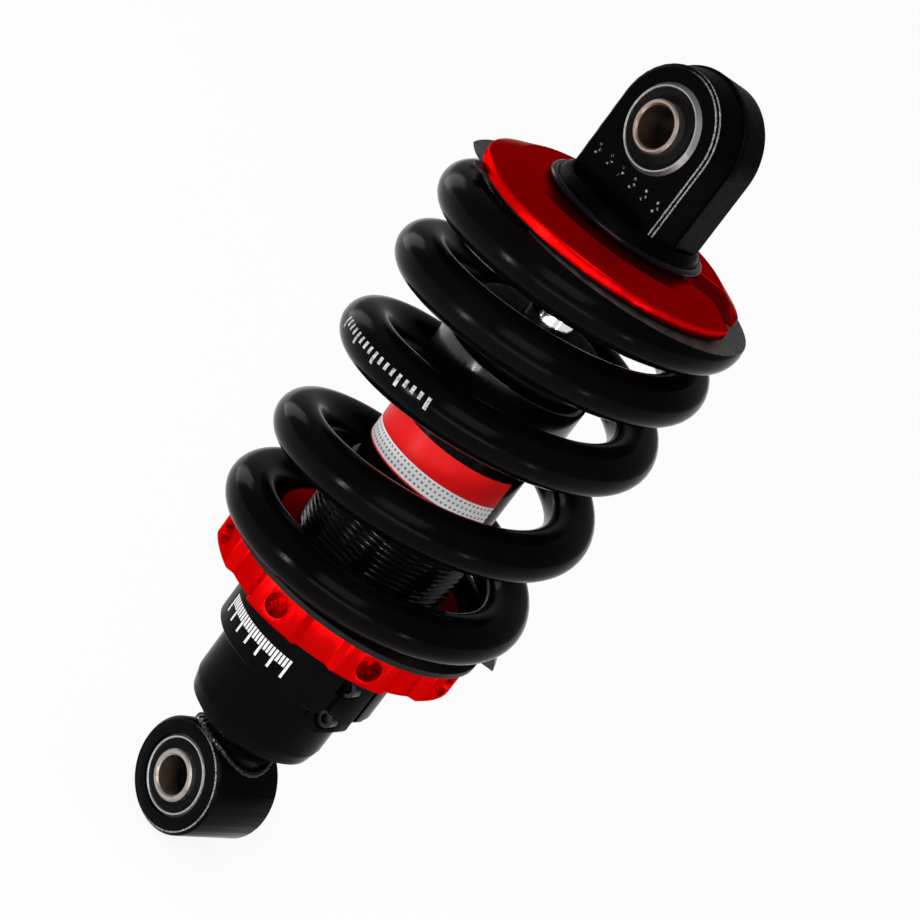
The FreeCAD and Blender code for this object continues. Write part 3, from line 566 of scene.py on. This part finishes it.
def spring_paint():
    """Gloss powder coat with a printed scale of plain bars on one coil.
    UV: u counts the spring's turns and v runs once round the wire from its outer side."""
    t = Tree("spring_black")
    haze = t.noise(45.0, 5.0, 0.6)
    black = t.mix(t.ramp(haze, 0.4, 0.75), (0.0008, 0.0008, 0.0009), grey(0.0018))
    u, v, _ = t.split(t.uv)
    pitch = (print_last_turn - print_first_turn) / print_bars
    place = t.math("DIVIDE", t.math("SUBTRACT", u, print_first_turn), pitch)
    bar = t.math("LESS_THAN", t.math("FRACT", place), print_bar_width)
    within = t.between(place, 0.0, float(print_bars))
    number = t.math("FLOOR", place)
    short = t.math("GREATER_THAN", t.math("MODULO", number, float(print_bars_per_long)), 0.5)
    reach = t.ramp(short, 0.0, 1.0, print_half_height, print_half_height * print_short)
    top = t.math("SUBTRACT", t.math("MULTIPLY", reach, 2.0), print_half_height)
    off = t.math("WRAP", t.math("SUBTRACT", v, print_middle), 0.5, -0.5)
    across = t.math("MULTIPLY", bar, within)
    ink = t.math("MULTIPLY", across, t.between(off, -print_half_height, top))
    worn = t.math("MULTIPLY", ink, t.ramp(t.noise(1500.0, 3.0, 0.7), 0.35, 0.6, 0.25, 0.9))
    t.set(base_color=t.mix(worn, black, (0.50, 0.50, 0.52)))
    t.set(roughness=t.ramp(haze, 0.3, 0.8, 0.13, 0.22), specular_ior_level=0.03)
    t.bump(t.noise(1100.0, 2.0, 0.5), 0.02 * MM)
    return t.material


def sawn_steel():
    """The sawn end of the wire, darkened."""
    t = Tree("sawn_wire_end")
    saw = t.noise(2500.0, 5.0, 0.7)
    t.set(base_color=t.mix(saw, grey(0.006), (0.05, 0.048, 0.045)), metallic=0.3)
    t.set(roughness=t.ramp(saw, 0.3, 0.7, 0.3, 0.6))
    t.bump(saw, 0.2 * MM)
    return t.material


def ground_flat():
    """The flat ground into the end coil, painted over, with the wheel's marks still showing."""
    t = Tree("ground_flat")
    wear = t.noise(350.0, 5.0, 0.7)
    tone = t.mix(t.ramp(wear, 0.4, 0.7), grey(0.02), (0.07, 0.068, 0.065))
    t.set(base_color=tone, metallic=0.2, roughness=t.ramp(wear, 0.3, 0.7, 0.4, 0.6))
    t.bump(t.noise(4000.0, 3.0, 0.6), 0.04 * MM)
    return t.material


def make_spring():
    """The coil stands on the spring seat.  A hook that rides on the rod draws each point down by
    its share of the stroke."""
    data, shares = spring_mesh()
    coil = piece("spring_coil", data, "spring_seat", spring_paint(), "spring_black", "coil_spring")
    data.materials.append(sawn_steel())
    data.materials.append(ground_flat())
    anchor = bpy.data.objects.new("spring_top_anchor", None)
    bpy.context.scene.collection.objects.link(anchor)
    anchor.location = (0, 0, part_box("coil_spring")[1].z)
    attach(anchor, "rod_assembly")
    group = coil.vertex_groups.new(name="follows_rod")
    for index, share in enumerate(shares):
        group.add([index], share, "REPLACE")
    hook = coil.modifiers.new("stroke", "HOOK")
    hook.object = anchor
    hook.vertex_group = group.name
    bpy.context.view_layer.update()
    hook.matrix_inverse = anchor.matrix_world.inverted() @ coil.matrix_world


# ---- threaded sleeve -----------------------------------------------------------------------------
thread_pitch = 1.5 * MM
thread_depth = 0.85 * MM
thread_crest = 0.14           # share of the pitch that is flat at the crest
thread_root = 0.102           # and at the root
thread_lead = 1.2             # pitches over which the thread runs out at the top
thread_around = 144
thread_rows_per_pitch = 8


def thread_profile(phase):
    """Height from 0 at the root to 1 at the crest, over one pitch."""
    offset = abs((phase % 1.0) - 0.5) * 2
    flank = 1 - thread_crest - thread_root
    return 1.0 - min(max((offset - thread_crest) / flank, 0.0), 1.0)


def make_thread():
    """The sleeve with its thread, which runs out at the top."""
    low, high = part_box("threaded_sleeve")
    root_r = high.x - thread_depth
    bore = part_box("damper_tube")[1].x
    count = round((high.z - low.z) / thread_pitch * thread_rows_per_pitch)
    rows = [circle(bore, low.z, thread_around), circle(root_r, low.z, thread_around)]
    for number in range(1, count):
        z = low.z + (high.z - low.z) * number / count
        lead_in = min(1.0, (high.z - z) / (thread_lead * thread_pitch))
        row = []
        for k in range(thread_around):
            turn = k / thread_around
            height = thread_profile(z / thread_pitch - turn) * lead_in
            row.append(polar(root_r + thread_depth * height, 2 * math.pi * turn, z))
        rows.append(row)
    rows.append(circle(root_r, high.z, thread_around))
    rows.append(circle(bore, high.z, thread_around))
    paint = gloss_black("black_thread", 0.001, roughness=0.14, peel=0.01 * MM, specular=0.5)
    mesh = grid_mesh("sleeve_thread", rows, looped=True)
    piece("sleeve_thread", mesh, "damper_body", paint, "black_body", "threaded_sleeve")


# ---- bump stop -----------------------------------------------------------------------------------
bump_round = 3.5 * MM
bump_foot = 1.2 * MM
bump_gap = 0.4 * MM           # between the rod and the bump stop's bore
bump_grooves = 2              # moulded round it
bump_groove_depth = 0.5 * MM
bump_side_steps = 16
bump_round_steps = 8
bump_around = 96


def make_bump_stop():
    """The foam stop on the gland cap."""
    low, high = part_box("bump_stop")
    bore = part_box("piston_rod")[1].x + bump_gap
    r = high.x
    profile = [(bore, low.z), (r - bump_foot, low.z), (r, low.z + bump_foot)]
    straight = high.z - bump_round - low.z - bump_foot
    for k in range(1, bump_side_steps):
        share = k / bump_side_steps
        wave = math.sin(share * bump_grooves * 2 * math.pi - math.pi / 2)
        groove = bump_groove_depth * max(0.0, wave) ** 4
        profile.append((r - groove, low.z + bump_foot + straight * share))
    for k in range(bump_round_steps + 1):
        a = math.pi / 2 * k / bump_round_steps
        inward, under = bump_round * (1 - math.cos(a)), bump_round * (1 - math.sin(a))
        profile.append((r - inward, high.z - under))
    profile.append((bore, high.z))
    rows = [circle(pr, pz, bump_around) for pr, pz in profile]
    foam = rubber("stop_foam", 0.006, 0.45)
    mesh = grid_mesh("bump_cushion", rows, looped=True)
    stop = piece("bump_cushion", mesh, "damper_body", foam, "stop_rubber", "bump_stop")
    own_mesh(stop)


# ---- label and collar scale ----------------------------------------------------------------------
film_low_z = 103.0 * MM
film_high_z = 115.5 * MM
film_from = math.radians(-175.0)
film_to = math.radians(7.0)
film_lift = 0.02 * MM
film_thickness = 0.08 * MM
film_steps = 90


def make_label():
    """The film round the tube, as a thin closed strip whose UV u is its length in metres."""
    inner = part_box("damper_tube")[1].x + film_lift
    outer = inner + film_thickness
    rows = []
    for k in range(film_steps + 1):
        a = film_from + (film_to - film_from) * k / film_steps
        rows.append([polar(inner, a, film_low_z), polar(outer, a, film_low_z),
                     polar(outer, a, film_high_z), polar(inner, a, film_high_z)])
    mesh = grid_mesh("tube_label", rows, caps=True)
    layer = mesh.uv_layers.new(name="film")
    for loop in mesh.loops:
        co = mesh.vertices[loop.vertex_index].co
        length = outer * (math.atan2(co.y, co.x) - film_from)
        height = (co.z - film_low_z) / (film_high_z - film_low_z)
        layer.data[loop.index].uv = (length, height)
    piece("tube_label", mesh, "damper_body", label_film(), None)


scale_from = math.radians(-119.0)
scale_to = math.radians(-55.0)
scale_ticks = 25
scale_ticks_per_long = 4
scale_z = 50.6 * MM           # upper end of the ticks
tick_width = 0.7 * MM
tick_long = 5.4 * MM
tick_short = 2.7 * MM
tick_lift = 0.03 * MM
box_sides = ((3, 2, 1, 0), (4, 5, 6, 7), (0, 1, 5, 4), (1, 2, 6, 5), (2, 3, 7, 6), (3, 0, 4, 7))


def make_collar_scale():
    """White index ticks round the collar, each a thin curved plate."""
    collar_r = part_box("clamp_collar")[1].y
    half = tick_width / 2 / collar_r
    build = bmesh.new()
    for k in range(scale_ticks):
        a = scale_from + (scale_to - scale_from) * k / (scale_ticks - 1)
        foot = scale_z - (tick_short if k % scale_ticks_per_long else tick_long)
        corners = []
        for r in (collar_r - tick_lift, collar_r + tick_lift):
            for side, z in ((-1, foot), (1, foot), (1, scale_z), (-1, scale_z)):
                corners.append(build.verts.new(polar(r, a + side * half, z)))
        for quad in box_sides:
            build.faces.new([corners[i] for i in quad])
    bmesh.ops.recalc_face_normals(build, faces=build.faces)
    mesh = bpy.data.meshes.new("collar_scale")
    build.to_mesh(mesh)
    build.free()
    piece("collar_scale", mesh, "damper_body", white_print(), None)


# ---- beads, worn edges with painted highlight and cast dots --------------------------------------
neck_r = 9.9 * MM
weld_r = 1.3 * MM
weld_ripple = 0.35 * MM
weld_ripples = 30
weld_steps = 8                # to each ripple
weld_out = 0.1 * MM           # the bead's middle outside the neck
weld_spread = 0.5 * MM        # further out where the eye falls away
weld_wobble = 0.1 * MM


def make_weld_bead():
    """The welded joint between the lower eye and its neck, a rippled bead on their meeting line."""
    eye_r = -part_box("lower_eye")[0].z
    count = weld_ripples * weld_steps
    path = []
    radii = []
    for k in range(count):
        a = 2 * math.pi * k / count
        r = neck_r + weld_out + weld_spread * math.sin(a) ** 2
        x = r * math.cos(a)
        path.append(Vector((x, r * math.sin(a), math.sqrt(eye_r ** 2 - x ** 2))))
        saw = (k % weld_steps) / weld_steps
        wobble = weld_wobble * math.sin(5 * a + 1.0)
        radii.append(weld_r - weld_ripple * (1 - saw) ** 2 + wobble)
    paint = gloss_black("black_weld", roughness=0.16, peel=0.01 * MM, specular=0.3)
    mesh = grid_mesh("weld_bead", tube_along(path, radii, 14, True), looped=True, angle=50)
    piece("weld_bead", mesh, "damper_body", paint, "black_body")


lug_foot = 5.0 * MM           # how far over the casting's foot the beads on the lug start
lug_side_steps = 12
lug_arch_steps = 60


def lug_path(radius, y):
    """Points up one side of the lug, round its top and down the other side."""
    foot_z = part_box("upper_mount")[0].z + lug_foot
    rise = [foot_z + (eye_to_eye - foot_z) * k / lug_side_steps for k in range(lug_side_steps)]
    path = [Vector((radius, y, z)) for z in rise]
    for k in range(lug_arch_steps + 1):
        a = math.pi * k / lug_arch_steps
        path.append(Vector((radius * math.cos(a), y, eye_to_eye + radius * math.sin(a))))
    path += [Vector((-radius, y, z)) for z in reversed(rise)]
    return path


def uneven(count, middle, swing, fast, slow):
    """Factors that swing about a middle by two waves, for a bead's thickness."""
    return [middle + swing * math.sin(fast * k) * math.cos(slow * k) for k in range(count)]


parting_r = 0.22 * MM
parting_y = -1.0 * MM


def make_parting_bead():
    """The mould's parting line along the lug's edge."""
    path = lug_path(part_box("upper_mount")[1].z - eye_to_eye - parting_r, parting_y)
    radii = [parting_r * factor for factor in uneven(len(path), 0.86, 0.12, 7.3, 2.9)]
    paint = gloss_black("black_bead", 0.001, roughness=0.2, peel=0.01 * MM, specular=0.06)
    mesh = grid_mesh("parting_bead", tube_along(path, radii, 10), caps=True, angle=60)
    piece("parting_bead", mesh, "rod_assembly", paint, "cast_black")


lug_face_y = -9.5 * MM
lug_outline_r = 16.5 * MM
lug_draft = 1.2 * MM          # how much narrower the lug is where its chamfer starts
lug_chamfer = 0.7 * MM
eye_face_y = -11.6 * MM
eye_rim_drop = 0.35 * MM      # how far the eye's face falls away to its rim
eye_chamfer = 0.9 * MM        # outside the rim
eye_edge_steps = 120
edge_bead_r = 0.22 * MM
edge_bead_sides = 8
edge_bead_sink = 0.11 * MM    # how deep its middle lies under the chamfer's edge that it follows
# The two parts of that sink: along the plain face beside the chamfer, and square to that face.
sink_along = edge_bead_sink * math.sin(math.pi / 8)
sink_square = edge_bead_sink * math.cos(math.pi / 8)


def make_rubbed_and_highlighted_edges():
    """Rubbed edges with painted highlight: the chamfer round the lug's near face and the rim of the
    lower eye.
    """
    # The beads' lighter grey on the +X side is painted highlight as well as wear.
    paint = worn_and_highlight_paint("worn_edge_and_painted_highlight", 2600.0, 0.36, 0.58, (0.30, 0.30, 0.31), one_side=True)
    face_r = lug_outline_r - lug_draft
    for name, radius, y in (
        ("lug_edge_outer", face_r - sink_square, lug_face_y + lug_chamfer + sink_along),
        ("lug_edge_inner", face_r - lug_chamfer - sink_along, lug_face_y + sink_square),
    ):
        path = lug_path(radius, y)
        radii = [edge_bead_r * factor for factor in uneven(len(path), 1.0, 0.2, 5.1, 3.3)]
        mesh = grid_mesh(name, tube_along(path, radii, edge_bead_sides), caps=True, angle=60)
        piece(name, mesh, "rod_assembly", paint, "cast_black")
    # The eye's rim is blunter, so its bead is sunk less.
    rim_r = -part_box("lower_eye")[0].z - eye_chamfer - sink_along
    rim_y = eye_face_y + eye_rim_drop + sink_along
    ring = [Vector((p.x, rim_y, p.y)) for p in circle(rim_r, 0.0, eye_edge_steps)]
    radii = [edge_bead_r] * eye_edge_steps
    tube = tube_along(ring, radii, edge_bead_sides, True)
    mesh = grid_mesh("eye_edge", tube, looped=True, angle=60)
    piece("eye_edge", mesh, "damper_body", paint, "black_body")


pip_r = 0.42 * MM
pip_height = 0.22 * MM
pip_groups = 6
pips_per_group = 3
pip_pitch = 4.6 * MM
pip_row_z = 191.2 * MM
pip_step = 1.1 * MM
pip_shift = 0.7               # of a step, by which a group's middle dot stands aside


def make_casting_dots():
    """Groups of small cast dots in a row across the lug's near face, below the bush."""
    build = bmesh.new()
    for number in range(pip_groups * pips_per_group):
        group, one = divmod(number, pips_per_group)
        aside = pip_step * pip_shift if one == 1 else 0.0
        x = (group - (pip_groups - 1) / 2) * pip_pitch + aside
        z = pip_row_z + (one - 1) * pip_step
        size = Matrix.Diagonal((pip_r, pip_height, pip_r, 1.0))
        place = Matrix.Translation((x, lug_face_y, z)) @ size
        bmesh.ops.create_icosphere(build, subdivisions=2, radius=1.0, matrix=place)
    mesh = bpy.data.meshes.new("casting_dots")
    build.to_mesh(mesh)
    build.free()
    finish_mesh(mesh)
    # The dots' lighter tops are wear and painted glint in one.
    paint = worn_and_highlight_paint("worn_dots_and_painted_glint", 2200.0, 0.48, 0.6, (0.34, 0.34, 0.35))
    piece("casting_dots", mesh, "rod_assembly", paint, "cast_black")


boss_r = 20.3 * MM
foot_bead_r = 1.0 * MM
foot_bead_out = 0.1 * MM      # its middle outside the boss
foot_bead_lift = 0.06 * MM    # clear of the red retainer
foot_bead_swing = 0.05
foot_bead_steps = 160


def make_boss_foot():
    """The glossy run of powder coat where the casting's foot meets the red retainer."""
    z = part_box("upper_mount")[0].z + foot_bead_r * (1 + foot_bead_swing) + foot_bead_lift
    path = circle(boss_r + foot_bead_out, z, foot_bead_steps)
    whole = 2 * math.pi / foot_bead_steps
    swing = uneven(foot_bead_steps, 1.0, foot_bead_swing, 9 * whole, 4 * whole)
    radii = [foot_bead_r * factor for factor in swing]
    paint = gloss_black("black_foot", 0.001, roughness=0.16, peel=0.04 * MM, specular=0.15)
    mesh = grid_mesh("boss_foot", tube_along(path, radii, 12, True), looped=True, angle=60)
    piece("boss_foot", mesh, "rod_assembly", paint, "cast_black")


# ---- build ---------------------------------------------------------------------------------------
lower_centre = (0, 0, 0)
upper_centre = (0, 0, eye_to_eye)

dress(gloss_black("black_body"), "lower_eye", "lower_end_cap", "damper_tube")
dress(gloss_black("black_alloy", roughness=0.24, peel=0.01 * MM), "clamp_collar")
dress(gloss_black("black_gland", peel=0.01 * MM, specular=0.6), "gland_cap")
dress(cast_black(), "upper_mount")
dress(anodised_red(), "preload_adjuster", "upper_spring_retainer")
dress(
    turned_steel("lower_bolt_sleeve", lower_centre, (0.38, 0.34, 0.31), (0.48, 0.37, 0.30)),
    "lower_bush_inner_sleeve",
)
dress(
    turned_steel("upper_bolt_sleeve", upper_centre, (0.34, 0.28, 0.24), (0.30, 0.19, 0.13)),
    "upper_bush_inner_sleeve",
)
dress(turned_steel("lower_shell", lower_centre, (0.42, 0.43, 0.44)), "lower_bush_outer_sleeve")
dress(turned_steel("upper_shell", upper_centre, (0.36, 0.355, 0.35)), "upper_bush_outer_sleeve")
dress(rubber("bush_rubber", 0.0025, 0.5, 0.06), "lower_bush_rubber", "upper_bush_rubber")
dress(
    rubber("seal_rubber", 0.006, 0.35),
    "guide_o_ring", "rod_seal", "dust_wiper", "floating_piston_o_ring",
)
dress(rubber("stop_rubber", 0.006, 0.45), "top_out_bumper")
dress(
    rubber("nylon_black", 0.005, 0.35), "lower_spring_seat", "upper_spring_seat", "piston_band"
)
dress(
    machined("plain_steel", (0.50, 0.50, 0.51)),
    "gas_fill_screw", "sleeve_circlip", "backup_washers", "compression_shims", "rebound_shims",
    "piston_nut",
)
dress(machined("black_oxide", (0.03, 0.03, 0.032), 0.2), "clamp_screws")
dress(machined("plain_alloy", (0.72, 0.73, 0.75)), "rod_guide", "floating_piston", "piston")
dress(machined("bronze_lined", (0.55, 0.38, 0.20)), "rod_bushing")
dress(chrome(), "piston_rod")

soften("upper_spring_retainer", 0.25 * MM)
soften("preload_adjuster", 0.2 * MM)
soften("lower_end_cap", 0.2 * MM)
soften("lower_eye", 0.35 * MM)
soften("upper_mount", 0.4 * MM, 3)
soften("gland_cap", 0.2 * MM)
soften("clamp_collar", 0.15 * MM)

make_spring()
make_thread()
make_bump_stop()
make_label()
make_collar_scale()
make_weld_bead()
make_parting_bead()
make_rubbed_and_highlighted_edges()
make_casting_dots()
make_boss_foot()

# ---- camera --------------------------------------------------------------------------------------
camera_azimuth = math.radians(36.04)
camera_elevation = math.radians(20.0)
camera_roll = math.radians(36.9)
camera_distance = 682.5 * MM
camera_lens = 110.47
camera_sensor = 36.0
camera_shift = (0.0283, 0.0156)
target = Vector((0, 0, eye_to_eye / 2))


def make_camera():
    """The photo's view, rolled so that the damper leans to the right."""
    back = Vector((
        math.cos(camera_elevation) * math.sin(camera_azimuth),
        -math.cos(camera_elevation) * math.cos(camera_azimuth),
        math.sin(camera_elevation),
    ))
    level_right = Vector((math.cos(camera_azimuth), math.sin(camera_azimuth), 0))
    level_up = back.cross(level_right)
    right = level_right * math.cos(camera_roll) + level_up * math.sin(camera_roll)
    turn = Matrix((right, back.cross(right), back)).transposed().to_4x4()
    data = bpy.data.cameras.new("camera")
    data.lens = camera_lens
    data.sensor_width = camera_sensor
    data.shift_x, data.shift_y = camera_shift
    camera = bpy.data.objects.new("camera", data)
    bpy.context.scene.collection.objects.link(camera)
    camera.matrix_world = Matrix.Translation(target + back * camera_distance) @ turn
    bpy.context.scene.camera = camera


# ---- lights and floor ----------------------------------------------------------------------------
floor_glow = 0.9              # how far the floor is plain white to the rays that see it directly
floor_side = 3.0
floor_gap = 0.2 * MM          # under the object
sky_for_light = 0.8           # strength of the sky as a light
sky_for_gloss = 0.28          # and of the dim studio that gloss and metal reflect above the floor


def make_lamp(name, place, width, height, watts):
    """An area lamp at a place in the row frame, aimed at the middle of the object."""
    data = bpy.data.lights.new(name, "AREA")
    data.shape = "RECTANGLE"
    data.size = width
    data.size_y = height
    data.energy = watts
    lamp = bpy.data.objects.new(name, data)
    bpy.context.scene.collection.objects.link(lamp)
    lamp.location = place
    lamp.rotation_mode = "QUATERNION"
    lamp.rotation_quaternion = (Vector(place) - target).to_track_quat("Z", "Y")
    lamp.visible_camera = False


def background_share(tree):
    """1 for rays that see the plain white background: camera, glossy and transmission rays."""
    path = tree.nodes.new("ShaderNodeLightPath")
    seen = path.outputs["Is Camera Ray"]
    for name in ("Is Glossy Ray", "Is Transmission Ray"):
        node = tree.nodes.new("ShaderNodeMath")
        node.operation = "MAXIMUM"
        tree.links.new(seen, node.inputs[0])
        tree.links.new(path.outputs[name], node.inputs[1])
        seen = node.outputs[0]
    return seen


def make_world():
    """A white sky that lights evenly, is dimmer to gloss and plain white to the camera."""
    world = bpy.data.worlds.new("studio")
    bpy.context.scene.world = world
    world.use_nodes = True
    tree = world.node_tree
    sky = tree.nodes["Background"]
    sky.inputs["Color"].default_value = (1, 1, 1, 1)
    path = tree.nodes.new("ShaderNodeLightPath")
    strength = None
    for ray, value in (
        ("Is Glossy Ray", sky_for_gloss), ("Is Transmission Ray", 1.0), ("Is Camera Ray", 1.0)
    ):
        blend = tree.nodes.new("ShaderNodeMix")
        blend.data_type = "FLOAT"
        tree.links.new(path.outputs[ray], blend.inputs[0])
        blend.inputs[2].default_value = sky_for_light
        if strength is not None:
            tree.links.new(strength, blend.inputs[2])
        blend.inputs[3].default_value = value
        strength = blend.outputs[0]
    tree.links.new(strength, sky.inputs["Strength"])


def make_floor():
    """A pale floor that keeps the object's shadow."""
    z = cad_low.z - floor_gap
    corners = [(x * floor_side, y * floor_side, z) for x, y in ((-1, -1), (1, -1), (1, 1), (-1, 1))]
    mesh = bpy.data.meshes.new("floor")
    mesh.from_pydata(corners, [], [(0, 1, 2, 3)])
    floor = bpy.data.objects.new("floor", mesh)
    bpy.context.scene.collection.objects.link(floor)
    t = Tree("pale_floor")
    t.set(base_color=t.mix(t.noise(3.0), grey(0.80), grey(0.84)), roughness=0.9)
    t.set(specular_ior_level=0.0)
    glow = t.nodes.new("ShaderNodeEmission")
    glow.inputs["Strength"].default_value = 1.0
    blend = t.nodes.new("ShaderNodeMixShader")
    share = t.math("MULTIPLY", background_share(t.material.node_tree), floor_glow)
    t.join(share, blend.inputs[0])
    t.join(t.shader.outputs[0], blend.inputs[1])
    t.join(glow.outputs[0], blend.inputs[2])
    t.join(blend.outputs[0], t.nodes["Material Output"].inputs["Surface"])
    mesh.materials.append(t.material)


make_camera()
make_lamp("back_left", (-0.80, 0.10, 0.16), 0.26, 0.60, 1.0)
make_lamp("front_left", (-0.05, -0.36, 0.055), 0.03, 0.10, 0.55)
make_lamp("front", (0.38, -0.71, 0.62), 0.55, 0.55, 3.2)
make_lamp("front_right", (0.36, -0.05, 0.04), 0.03, 0.06, 0.08)
make_lamp("front_band", (0.20, -0.30, 0.055), 0.30, 0.06, 0.30)
make_world()
make_floor()
bpy.context.scene.view_settings.view_transform = "Standard"
